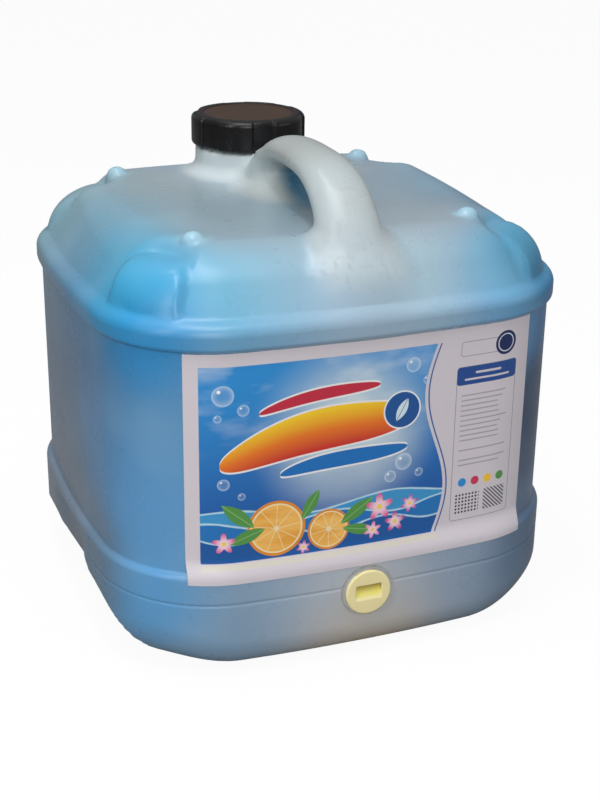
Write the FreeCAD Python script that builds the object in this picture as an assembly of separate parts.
import FreeCAD, Part
import math
import os
from FreeCAD import Vector

# Fifteen-litre cube bottle for laundry liquid, blow moulded in one piece with its grip and neck.
# Millimetres. The origin is the centre of the base, +Z is up, the label and tap hole face -Y.

# Plan outline, measured on the upright wall
WIDTH = 282.0
DEPTH = 264.6
HALF_X = WIDTH / 2
HALF_Y = DEPTH / 2
CORNER_RADIUS = 68.0
SIDE_BOW = 2.7
CORNER_X = HALF_X - CORNER_RADIUS - SIDE_BOW
CORNER_Y = HALF_Y - CORNER_RADIUS - SIDE_BOW
WALL = 2.2

# Base band, which stands out from the wall
BAND_OUT = 3.7
BAND_TOP = 64.7
BAND_TOP_ROUND = 3.2
LEDGE_DRAFT = 0.3
BOTTOM_ROUND = 23.0
SIDE_ROLL_RADIUS = 52.0
CORNER_ROLL_RADIUS = 34.0
CORNER_ROLL_DEG = 45.0
GROOVE_BELOW_BAND_TOP = 18.1
GROOVE_Z = BAND_TOP - GROOVE_BELOW_BAND_TOP
GROOVE_WIDTH = 2.4
GROOVE_DEPTH = 0.9
FRONT_Y = -HALF_Y - BAND_OUT

# Hand scoops under the two side walls
SCOOP_HALF_LENGTH = 43.0
SCOOP_DEPTH = 11.0
SCOOP_BELOW_BAND_TOP = 7.7
SCOOP_TOP = BAND_TOP - SCOOP_BELOW_BAND_TOP
SCOOP_LEAN_DEG = 4.0

# Rim band that runs round the top of the wall
RIM_TOP = 212.0
RIM_HEIGHT = 15.4
RIM_LOW = RIM_TOP - RIM_HEIGHT
RIM_OUT = 3.0
RIM_LOW_ROUND = 2.8
VALLEY_IN = 4.0
RIM_ROUND = RIM_OUT + VALLEY_IN

# Shoulder and plateau
SHOULDER_HEIGHT = 32.4
PLATEAU_Z = RIM_TOP + SHOULDER_HEIGHT
PLATEAU_IN = 28.0
PLATEAU_ROUND = 14.0

# Corner pads, one on each corner of the shoulder
PAD_STEP = 7.4
PAD_TOP = PLATEAU_Z - PAD_STEP
PAD_ROUND = 26.0
PAD_FROM_SIDE = 28.0
PAD_FROM_FRONT = 44.3
PAD_X = HALF_X - PAD_FROM_SIDE
PAD_Y = HALF_Y - PAD_FROM_FRONT
PAD_END_RADIUS = 21.0
PAD_WEDGE_DEG = 32.0
PAD_AXIS_DEG = 46.0
PAD_STEP_SLOPE_DEG = 25.0

# Pips on the plateau
PIP_FROM_SIDE = 57.5
PIP_FROM_FRONT = 57.3
PIP_FROM_BACK = 45.3
PIP_X = HALF_X - PIP_FROM_SIDE
PIP_FRONT_Y = PIP_FROM_FRONT - HALF_Y
PIP_BACK_Y = HALF_Y - PIP_FROM_BACK
PIP_RADIUS = 8.0
PIP_TIP_RADIUS = 4.0
PIP_HEIGHT = 4.5

# Neck and its finish, where the cap screws on
NECK_FROM_BACK = 59.6
NECK_Y = HALF_Y - NECK_FROM_BACK
COLLAR_RADIUS = 34.0
COLLAR_HEIGHT = 14.1
COLLAR_TOP = PLATEAU_Z + COLLAR_HEIGHT
COLLAR_CHAMFER = 1.2
NECK_FLARE = 6.0
NECK_ROOT = 20.0
FINISH_RADIUS = 29.5
NECK_BORE_RADIUS = 26.0
FINISH_HEIGHT = 19.3
LIP_Z = COLLAR_TOP + FINISH_HEIGHT
LIP_CHAMFER = 0.8

# Grip, hollow, along the middle of the top, from its rear end to its foot at the front.
# Rows: y as a share of half the depth, z above the plateau, half width, half thickness, lean in degrees.
GRIP_STATIONS = (
    (0.340, -0.4, 12.0, 9.0, 145.0),
    (0.178, 13.6, 14.0, 10.0, 147.0),
    (0.053, 23.2, 16.0, 10.6, 156.0),
    (-0.098, 28.2, 17.0, 10.8, 174.0),
    (-0.302, 28.8, 17.5, 11.0, 182.0),
    (-0.499, 26.1, 18.0, 12.5, 200.0),
    (-0.650, 12.6, 19.0, 15.0, 232.0),
    (-0.745, -4.4, 21.0, 16.5, 247.0),
    (-0.805, -20.9, 26.0, 19.0, 254.0),
    (-0.816, -38.4, 33.0, 17.0, 264.0),
    (-0.801, -52.4, 38.0, 13.0, 274.0),
)

# Flared foot under the rear end of the grip.
# Each row is z above the plateau, y as a share of half the depth, half length, half width.
GRIP_FOOT = (
    (-8.4, 0.106, 46.0, 30.0),
    (-1.4, 0.121, 34.0, 23.0),
    (5.6, 0.151, 22.0, 17.0),
    (13.6, 0.159, 12.0, 12.5),
    (19.6, 0.144, 7.0, 8.0),
)

# Tap hole in the front of the base band, with its boss inside
TAP_BELOW_BAND_TOP = 21.9
TAP_Z = BAND_TOP - TAP_BELOW_BAND_TOP
TAP_FLAT_RADIUS = 15.4
TAP_FLAT_DEPTH = 0.8
TAP_FLAT_EDGE = 0.6
TAP_FACE_Y = FRONT_Y + TAP_FLAT_DEPTH
TAP_BORE_RADIUS = 11.0
TAP_BOSS_WALL = 3.0
TAP_BOSS_LENGTH = 13.0

# Screw cap with its liner; its skirt runs round the finish with room for the thread
CAP_THREAD_ROOM = 1.9
CAP_WALL = 5.0
CAP_SKIRT_INSIDE = FINISH_RADIUS + CAP_THREAD_ROOM
CAP_RADIUS = CAP_SKIRT_INSIDE + CAP_WALL
CAP_LOBE_OUT = 1.5
CAP_LOBES = 6
CAP_LOBE_DEG = 37.0
CAP_LOBE_START_DEG = -123.0
CAP_GAP = 1.5
CAP_LOW = COLLAR_TOP + CAP_GAP
LINER_THICKNESS = 1.5
LINER_CLEARANCE = 0.5
CAP_INSIDE_TOP = LIP_Z + LINER_THICKNESS
CAP_TOP_THICKNESS = 2.4
CAP_TOP = CAP_INSIDE_TOP + CAP_TOP_THICKNESS
CAP_TOP_BEVEL = 2.6
CAP_LOW_BEVEL = 0.8
CAP_RING_WIDTH = 7.7
CAP_DISC_DEPTH = 0.6

# Bung of the tap hole, with its thumb slot and its seal ring
BUNG_FLANGE_RADIUS = 14.0
BUNG_FLANGE_THICKNESS = 2.4
BUNG_FLANGE_BEVEL = 1.0
BUNG_SHANK_LENGTH = 12.0
BUNG_CLEARANCE = 0.08
BUNG_HOLLOW_RADIUS = 8.4
BUNG_HOLLOW_DEPTH = 5.0
BUNG_SLOT_WIDTH = 16.0
BUNG_SLOT_HEIGHT = 9.5
BUNG_SLOT_DEPTH = 5.0
SEAL_THICKNESS = 0.8
SEAL_CLEARANCE = 0.05
SEAL_EDGE = 0.6
BUNG_SEAT_Y = TAP_FACE_Y - SEAL_THICKNESS
BUNG_FRONT_Y = BUNG_SEAT_Y - BUNG_FLANGE_THICKNESS

# Liquid inside, and the printed label on the front
HEADSPACE = 14.4
LIQUID_LEVEL = PLATEAU_Z - HEADSPACE
LABEL_FROM_LEFT = 36.4
LABEL_FROM_RIGHT = 38.1
LABEL_OVER_BAND = 4.8
LABEL_BELOW_RIM = 0.7
LABEL_LEFT = LABEL_FROM_LEFT - HALF_X
LABEL_RIGHT = HALF_X - LABEL_FROM_RIGHT
LABEL_LOW = BAND_TOP - LABEL_OVER_BAND
LABEL_HIGH = RIM_LOW - LABEL_BELOW_RIM
LABEL_THICKNESS = 0.3
LABEL_CORNER_ROUND = 1.5

# Bands that each rounding is built from, outside and in the hollow
BOTTOM_BANDS = 5
RIM_BANDS = 3
PLATEAU_BANDS = 3
PAD_BANDS = 4
SMALL_BANDS = 2

UP = Vector(0, 0, 1)
INWARD = Vector(0, 1, 0)
REACH = 2.0
EPS = 1e-4


def bow_radius(corner_across):
    """Radius of a bowed side that is tangent to both of its corner arcs."""
    return (corner_across ** 2 + 2 * CORNER_RADIUS * SIDE_BOW + SIDE_BOW ** 2) / (2 * SIDE_BOW)


SIDE_CENTRE_X = HALF_X - bow_radius(CORNER_Y)
FRONT_CENTRE_Y = HALF_Y - bow_radius(CORNER_X)


def plan_wire(out, z):
    """Bowed rounded rectangle, moved out from the wall's outline by out, at height z."""
    corner = Vector(CORNER_X, CORNER_Y, 0)
    to_side = (corner - Vector(SIDE_CENTRE_X, 0, 0)).normalize()
    to_front = (corner - Vector(0, FRONT_CENTRE_Y, 0)).normalize()
    between = (to_side + to_front).normalize()
    radius = CORNER_RADIUS + out
    start, middle, end = (corner + d * radius for d in (to_side, between, to_front))
    side_tip = Vector(HALF_X + out, 0, 0)
    back_tip = Vector(0, HALF_Y + out, 0)

    def place(point, sx, sy):
        return Vector(point.x * sx, point.y * sy, z)

    arcs = []
    for sx, sy in ((1, 1), (-1, 1), (-1, -1), (1, -1)):
        arcs.append((place(start, sx, sy), place(middle, sx, sy), place(end, sx, sy)))
    arcs.append((place(start, 1, -1), place(side_tip, 1, 1), place(start, 1, 1)))
    arcs.append((place(start, -1, -1), place(side_tip, -1, 1), place(start, -1, 1)))
    arcs.append((place(end, -1, 1), place(back_tip, 1, 1), place(end, 1, 1)))
    arcs.append((place(end, -1, -1), place(back_tip, 1, -1), place(end, 1, -1)))
    edges = [Part.Arc(*points).toShape() for points in arcs]
    return Part.Wire(Part.__sortEdges__(edges))


def plan_prism(out, low, high):
    return Part.Face(plan_wire(out, low)).extrude(Vector(0, 0, high - low))


def stack(profile):
    """Solid through plan outlines: the profile's points are (out, z), from its lowest to its highest."""
    return Part.makeLoft([plan_wire(out, z) for out, z in profile], True, True)


def arc(centre_out, centre_z, radius, start_deg, end_deg, bands):
    """Points of a rounding in the profile, from start to end, both included."""
    points = []
    for i in range(bands + 1):
        angle = math.radians(start_deg + (end_deg - start_deg) * i / bands)
        points.append((centre_out + radius * math.cos(angle), centre_z + radius * math.sin(angle)))
    return points


def edges_at(shape, z):
    """The edges of a shape that lie wholly at height z."""
    found = []
    for edge in shape.Edges:
        box = edge.BoundBox
        if abs(box.ZMin - z) < EPS and abs(box.ZMax - z) < EPS:
            found.append(edge)
    return found


def roll(solid, inside):
    """Rolls the bottom edge further under along the sides and at the corners."""
    spread = math.hypot(WIDTH, DEPTH)
    corner_turn = math.radians(CORNER_ROLL_DEG)
    corner_out = CORNER_X * math.cos(corner_turn) + CORNER_Y * math.sin(corner_turn) + CORNER_RADIUS
    rolls = []
    for side_turn in (0.0, 180.0):
        rolls.append((side_turn, HALF_X, SIDE_ROLL_RADIUS))
        rolls.append((side_turn - CORNER_ROLL_DEG, corner_out, CORNER_ROLL_RADIUS))
        rolls.append((side_turn + CORNER_ROLL_DEG, corner_out, CORNER_ROLL_RADIUS))
    for turn, wall_out, radius in rolls:
        inner = radius - inside
        centre = wall_out + BAND_OUT - radius
        block = Part.makeBox(spread, 2 * spread, inner + REACH, Vector(centre, -spread, inside - REACH))
        start = Vector(centre, -spread - REACH, radius)
        cutter = block.cut(Part.makeCylinder(inner, 2 * spread + 2 * REACH, start, INWARD))
        cutter.rotate(Vector(0, 0, 0), UP, turn)
        solid = solid.cut(cutter)
    return solid


def band_top_rounding(out):
    """Points of the rounding along the top edge of the base band, moved out by out."""
    radius = BAND_TOP_ROUND + out
    return arc(BAND_OUT - BAND_TOP_ROUND, BAND_TOP - BAND_TOP_ROUND, radius, 0, 90, SMALL_BANDS)


def trunk(inside):
    """Base band, upright wall and rim in one, up to the foot of the shoulder."""
    out_low = BAND_OUT - inside
    bottom_centre = BAND_OUT - BOTTOM_ROUND
    profile = arc(bottom_centre, BOTTOM_ROUND, BOTTOM_ROUND - inside, -90, 0, BOTTOM_BANDS)
    if inside:
        profile += [(out_low, BAND_TOP - inside), (-inside, BAND_TOP - inside + LEDGE_DRAFT)]
        profile += [(-inside, RIM_LOW + inside - LEDGE_DRAFT), (RIM_OUT - inside, RIM_LOW + inside)]
    else:
        profile += band_top_rounding(0.0)
        profile += [(0.0, BAND_TOP + LEDGE_DRAFT), (0.0, RIM_LOW - LEDGE_DRAFT)]
        profile += arc(RIM_OUT - RIM_LOW_ROUND, RIM_LOW + RIM_LOW_ROUND, RIM_LOW_ROUND, -90, 0, SMALL_BANDS)
    profile += arc(-VALLEY_IN, RIM_TOP - RIM_ROUND, RIM_ROUND - inside, 0, 90, RIM_BANDS)
    return roll(stack(profile), inside)


def shoulder_block(inside):
    """The sloping shoulder with its flat plateau, before its corners are cut for the pads."""
    run = PLATEAU_IN - VALLEY_IN
    rise = PLATEAU_Z - RIM_TOP
    slope = math.atan2(rise, run)
    half = slope / 2
    centre_out = -PLATEAU_IN - PLATEAU_ROUND * math.tan(half)
    centre_z = PLATEAU_Z - PLATEAU_ROUND
    low = RIM_TOP - 2 * WALL
    foot_out = -VALLEY_IN - (low - RIM_TOP) * run / rise - inside / math.sin(slope)
    start_deg = 90 - math.degrees(slope)
    rounding = arc(centre_out, centre_z, PLATEAU_ROUND - inside, start_deg, 90, PLATEAU_BANDS)
    return stack([(foot_out, low)] + rounding)


def pad_zone(grow, low, high, slope_deg):
    """Tongue-shaped column over the front right corner, whose wall leans out by slope_deg as it rises."""
    half = math.radians(PAD_WEDGE_DEG / 2)
    axis = math.radians(-PAD_AXIS_DEG)
    along = Vector(math.cos(axis), math.sin(axis), 0)
    across = Vector(-along.y, along.x, 0)
    reach = 2 * CORNER_RADIUS

    def outline(extra, z):
        radius = PAD_END_RADIUS + extra
        centre = Vector(PAD_X, -PAD_Y, z)
        tangent = along * (-math.sin(half)) + across * math.cos(half)
        other = along * (-math.sin(half)) - across * math.cos(half)
        flank = along * math.cos(half) + across * math.sin(half)
        other_flank = along * math.cos(half) - across * math.sin(half)
        a = centre + tangent * radius
        b = centre + other * radius
        c = b + other_flank * reach
        d = a + flank * reach
        arc = Part.Arc(a, centre - along * radius, b).toShape()
        lines = [Part.makeLine(b, c), Part.makeLine(c, d), Part.makeLine(d, a)]
        return Part.Wire([arc] + lines)

    spread = (high - low) * math.tan(math.radians(slope_deg))
    return Part.makeLoft([outline(grow, low), outline(grow + spread, high)], True, True)


def to_corners(shape):
    """The shape and its mirror images on the other three corners."""
    right = [shape, shape.mirror(Vector(0, 0, 0), Vector(0, 1, 0))]
    return right + [s.mirror(Vector(0, 0, 0), Vector(1, 0, 0)) for s in right]


def pads(inside):
    """The rounded corner blocks that stand a step below the plateau."""
    rounding = arc(-VALLEY_IN - PAD_ROUND, PAD_TOP - PAD_ROUND, PAD_ROUND - inside, 0, 90, PAD_BANDS)
    block = stack([(-VALLEY_IN - inside, RIM_TOP - 2 * WALL)] + rounding)
    zone = pad_zone(-inside, RIM_TOP - 3 * WALL, PLATEAU_Z, 0.0)
    return to_corners(block.common(zone))


def pad_cuts(inside):
    """What the shoulder loses over each corner, down to the step beside the pad."""
    spread = (PAD_TOP - RIM_TOP) * math.tan(math.radians(PAD_STEP_SLOPE_DEG))
    return to_corners(pad_zone(inside - spread, RIM_TOP, PLATEAU_Z + REACH, PAD_STEP_SLOPE_DEG))


def grip_section(y, z, half_width, half_thick, lean_deg):
    """Rounded section of the grip, square to its run."""
    lean = math.radians(lean_deg)
    normal = Vector(0, math.cos(lean), math.sin(lean))
    ellipse = Part.Ellipse(Vector(0, 0, 0), half_width, half_thick)
    wire = Part.Wire(ellipse.toShape())
    thick = normal.cross(Vector(1, 0, 0))
    frame = FreeCAD.Matrix(1, 0, 0, 0, 0, thick.y, normal.y, y, 0, thick.z, normal.z, z, 0, 0, 0, 1)
    return wire.transformGeometry(frame)


def grip(inside):
    """The bent tube that is lifted by hand, from the plateau behind to the shoulder in front."""
    wires = []
    for share, above, half_width, half_thick, lean in GRIP_STATIONS:
        y = share * HALF_Y
        wires.append(grip_section(y, PLATEAU_Z + above, half_width - inside, half_thick - inside, lean))
    return Part.makeLoft(wires, True, inside > 0)


def grip_foot(inside):
    """Flare that carries the rear end of the grip down onto the plateau, just in front of the neck."""
    wires = []
    for above, share, half_length, half_width in GRIP_FOOT:
        major, minor = half_length - inside, half_width - inside
        if major >= minor:
            ellipse = Part.Ellipse(Vector(0, 0, 0), major, minor).toShape()
            ellipse.rotate(Vector(0, 0, 0), UP, 90)
        else:
            ellipse = Part.Ellipse(Vector(0, 0, 0), minor, major).toShape()
            ellipse.rotate(Vector(0, 0, 0), UP, 180)
        ellipse.translate(Vector(0, share * HALF_Y, PLATEAU_Z + above - inside))
        wires.append(Part.Wire(ellipse))
    return Part.makeLoft(wires, True, True)


def neck(inside):
    """Collar with its flare onto the plateau, and above it the finish for the cap."""
    foot = PLATEAU_Z - inside
    collar = COLLAR_RADIUS - inside
    top = COLLAR_TOP - inside
    lip = LIP_Z - inside
    line = [(0, foot - NECK_ROOT), (collar, foot - NECK_ROOT)]
    if inside:
        line += [(collar, top), (NECK_BORE_RADIUS, top), (NECK_BORE_RADIUS, lip)]
    else:
        line += [(collar + NECK_FLARE, foot), (collar, foot + NECK_FLARE)]
        line += [(collar, top - COLLAR_CHAMFER), (collar - COLLAR_CHAMFER, top), (FINISH_RADIUS, top)]
        line += [(FINISH_RADIUS, lip - LIP_CHAMFER), (FINISH_RADIUS - LIP_CHAMFER, lip)]
    line += [(0, lip), (0, foot - NECK_ROOT)]
    profile = Part.Face(Part.makePolygon([Vector(r, 0, z) for r, z in line]))
    solid = profile.revolve(Vector(0, 0, 0), UP, 360)
    solid.translate(Vector(0, NECK_Y, 0))
    return solid


def pips():
    """Four low studs that stacked bottles stand on."""
    studs = []
    for x in (-PIP_X, PIP_X):
        for y in (PIP_FRONT_Y, PIP_BACK_Y):
            draft = (PIP_RADIUS - PIP_TIP_RADIUS) / PIP_HEIGHT
            foot = Vector(x, y, PLATEAU_Z - WALL / 2)
            stud = Part.makeCone(PIP_RADIUS + draft * WALL / 2, PIP_TIP_RADIUS, PIP_HEIGHT + WALL / 2, foot)
            studs.append(stud)
    return studs


def scoops(inside):
    """Shallow hollows under the side walls, for the hand that tips the bottle."""
    radius = (SCOOP_HALF_LENGTH ** 2 + SCOOP_DEPTH ** 2) / (2 * SCOOP_DEPTH)
    face_x = HALF_X + BAND_OUT
    start = Vector(face_x - SCOOP_DEPTH + radius, 0, -BAND_TOP)
    barrel = Part.makeCylinder(radius + inside, SCOOP_TOP + inside + BAND_TOP, start, UP)
    barrel.rotate(Vector(face_x - SCOOP_DEPTH, 0, 0), Vector(0, 1, 0), SCOOP_LEAN_DEG)
    return [barrel, barrel.mirror(Vector(0, 0, 0), Vector(1, 0, 0))]


def groove():
    """Moulded line round the base band, broken where the tap boss is."""
    low = GROOVE_Z - GROOVE_WIDTH / 2
    high = GROOVE_Z + GROOVE_WIDTH / 2
    outer = plan_prism(BAND_OUT + REACH, low, high)
    bottom = plan_wire(BAND_OUT - GROOVE_DEPTH, GROOVE_Z)
    lower = Part.makeLoft([plan_wire(BAND_OUT, low), bottom], True, True)
    upper = Part.makeLoft([bottom, plan_wire(BAND_OUT, high)], True, True)
    ring = outer.cut(lower).cut(upper)
    gap_corner = Vector(-TAP_FLAT_RADIUS, FRONT_Y - REACH, low - REACH)
    return ring.cut(Part.makeBox(2 * TAP_FLAT_RADIUS, HALF_Y, high - low + 2 * REACH, gap_corner))


def tap_rod(radius, start_y, length):
    """Round rod on the tap hole's axis that runs inwards from start_y."""
    return Part.makeCylinder(radius, length, Vector(0, start_y, TAP_Z), INWARD)


def chamber(inside):
    """The main volume: base band, wall, rim, shoulder and corner pads, with the scoops taken out."""
    shoulder = shoulder_block(inside)
    for cut in pad_cuts(inside):
        shoulder = shoulder.cut(cut)
    body = trunk(inside).fuse([shoulder] + pads(inside))
    for scoop in scoops(inside):
        body = body.cut(scoop)
    return body


def top_work(inside):
    """What stands on the shoulder: neck, grip and the flare under the grip."""
    return neck(inside).fuse([grip(inside), grip_foot(inside)])


def tap_boss():
    """What the tap hole takes out of the hollow: its boss, and the back of its round flat."""
    boss = tap_rod(TAP_BORE_RADIUS + TAP_BOSS_WALL, FRONT_Y, TAP_FLAT_DEPTH + TAP_BOSS_LENGTH)
    return boss.fuse(tap_rod(TAP_FLAT_RADIUS + TAP_FLAT_EDGE, FRONT_Y, TAP_FLAT_DEPTH + WALL))


def bottle(inner_chamber):
    """One moulding: the outer skin with the hollow as a void, then the neck and tap bores opened into it."""
    hollow = inner_chamber.fuse(top_work(WALL))
    skin = chamber(0.0).fuse([top_work(0.0)] + pips())
    skin = skin.cut(groove()).cut(tap_rod(TAP_FLAT_RADIUS, FRONT_Y - REACH, TAP_FLAT_DEPTH + REACH))
    skins = Part.makeCompound([skin.Shells[0], hollow.Shells[0].reversed()])
    moulding = Part.makeSolid(skins)
    bore = Part.makeCylinder(NECK_BORE_RADIUS, 4 * WALL, Vector(0, NECK_Y, LIP_Z - 2 * WALL))
    tap_bore = tap_rod(TAP_BORE_RADIUS, FRONT_Y - REACH, TAP_FLAT_DEPTH + TAP_BOSS_LENGTH + 2 * REACH)
    return moulding.cut(bore).cut(tap_bore)


def liquid(inner_chamber):
    """The liquid stands against the wall up to its level."""
    above = Part.makeBox(2 * WIDTH, 2 * DEPTH, LIP_Z, Vector(-WIDTH, -DEPTH, LIQUID_LEVEL))
    return inner_chamber.cut(above)


def label():
    """Printed film on the front, which follows the wall and laps over the rounded top of the base band."""
    def skin(out):
        profile = [(BAND_OUT + out, TAP_Z)] + band_top_rounding(out)
        return stack(profile + [(out, BAND_TOP + LEDGE_DRAFT + out), (out, RIM_LOW)])

    patch = Part.makeBox(LABEL_RIGHT - LABEL_LEFT, DEPTH, LABEL_HIGH - LABEL_LOW,
                         Vector(LABEL_LEFT, -DEPTH - CORNER_Y, LABEL_LOW))
    corners = [e for e in patch.Edges if e.BoundBox.YLength > DEPTH / 2]
    patch = patch.makeFillet(LABEL_CORNER_ROUND, corners)
    return skin(LABEL_THICKNESS).common(patch).cut(skin(0.0))


def cap():
    """Screw cap with wide grip lobes round its skirt and a shallow disc on its top."""
    height = CAP_TOP - CAP_LOW
    low_centre = Vector(0, 0, CAP_LOW)
    shell = Part.makeCylinder(CAP_RADIUS - CAP_LOBE_OUT, height, low_centre)
    shell = shell.makeChamfer(CAP_TOP_BEVEL, edges_at(shell, CAP_TOP))
    lobe = Part.makeCylinder(CAP_RADIUS, height, low_centre)
    lobe = lobe.makeChamfer(CAP_TOP_BEVEL, edges_at(lobe, CAP_TOP))
    lobe = lobe.makeChamfer(CAP_LOW_BEVEL, edges_at(lobe, CAP_LOW))
    lobe = lobe.common(Part.makeCylinder(2 * CAP_RADIUS, height, low_centre, UP, CAP_LOBE_DEG))
    lobes = []
    for i in range(CAP_LOBES):
        copy = lobe.copy()
        copy.rotate(Vector(0, 0, 0), UP, CAP_LOBE_START_DEG - CAP_LOBE_DEG / 2 + i * 360.0 / CAP_LOBES)
        lobes.append(copy)
    shell = shell.fuse(lobes)
    shell = shell.cut(Part.makeCylinder(CAP_SKIRT_INSIDE, CAP_INSIDE_TOP - CAP_LOW, low_centre))
    disc_centre = Vector(0, 0, CAP_TOP - CAP_DISC_DEPTH)
    shell = shell.cut(Part.makeCylinder(CAP_RADIUS - CAP_RING_WIDTH, CAP_DISC_DEPTH, disc_centre))
    shell.translate(Vector(0, NECK_Y, 0))
    return shell


def cap_liner():
    return Part.makeCylinder(CAP_SKIRT_INSIDE - LINER_CLEARANCE, LINER_THICKNESS, Vector(0, NECK_Y, LIP_Z))


def bung():
    """Plug with a rounded flange, a thumb slot whose floor slopes out downwards, and a hollow shank."""
    flange = tap_rod(BUNG_FLANGE_RADIUS, BUNG_FRONT_Y, BUNG_FLANGE_THICKNESS)
    rim = [e for e in flange.Edges if e.BoundBox.YMax < BUNG_FRONT_Y + EPS]
    flange = flange.makeChamfer(BUNG_FLANGE_BEVEL, rim)
    shank_start = BUNG_SEAT_Y - BUNG_FLANGE_THICKNESS / 2
    shank_length = BUNG_SHANK_LENGTH + BUNG_FLANGE_THICKNESS / 2
    plug = flange.fuse(tap_rod(TAP_BORE_RADIUS - BUNG_CLEARANCE, shank_start, shank_length))
    left = -BUNG_SLOT_WIDTH / 2
    high = TAP_Z + BUNG_SLOT_HEIGHT / 2
    low = TAP_Z - BUNG_SLOT_HEIGHT / 2
    outside = BUNG_FRONT_Y - REACH
    corners = [Vector(left, outside, high), Vector(left, BUNG_FRONT_Y + BUNG_SLOT_DEPTH, high),
               Vector(left, BUNG_FRONT_Y, low), Vector(left, outside, low), Vector(left, outside, high)]
    slot = Part.Face(Part.makePolygon(corners)).extrude(Vector(BUNG_SLOT_WIDTH, 0, 0))
    hollow = tap_rod(BUNG_HOLLOW_RADIUS, BUNG_SEAT_Y + BUNG_HOLLOW_DEPTH, BUNG_SHANK_LENGTH)
    return plug.cut(slot).cut(hollow)


def bung_seal():
    ring = tap_rod(BUNG_FLANGE_RADIUS - SEAL_EDGE, BUNG_SEAT_Y, SEAL_THICKNESS)
    bore = tap_rod(TAP_BORE_RADIUS + SEAL_CLEARANCE, BUNG_SEAT_Y - REACH, SEAL_THICKNESS + 2 * REACH)
    return ring.cut(bore)


def write(name, shape):
    solids = shape.Solids
    if len(solids) == 1:
        shape = solids[0]
    millilitres = round(shape.Volume / 1000, 2)
    print(name, "solids", len(solids), "valid", shape.isValid(), "volume", millilitres, "ml")
    shape.exportStep("parts/" + name + ".step")


os.makedirs("parts", exist_ok=True)
inner_chamber = chamber(WALL).cut(tap_boss())
write("bottle", bottle(inner_chamber))
write("laundry_liquid", liquid(inner_chamber))
write("front_label", label())
write("screw_cap", cap())
write("cap_liner", cap_liner())
write("tap_bung", bung())
write("bung_seal", bung_seal())
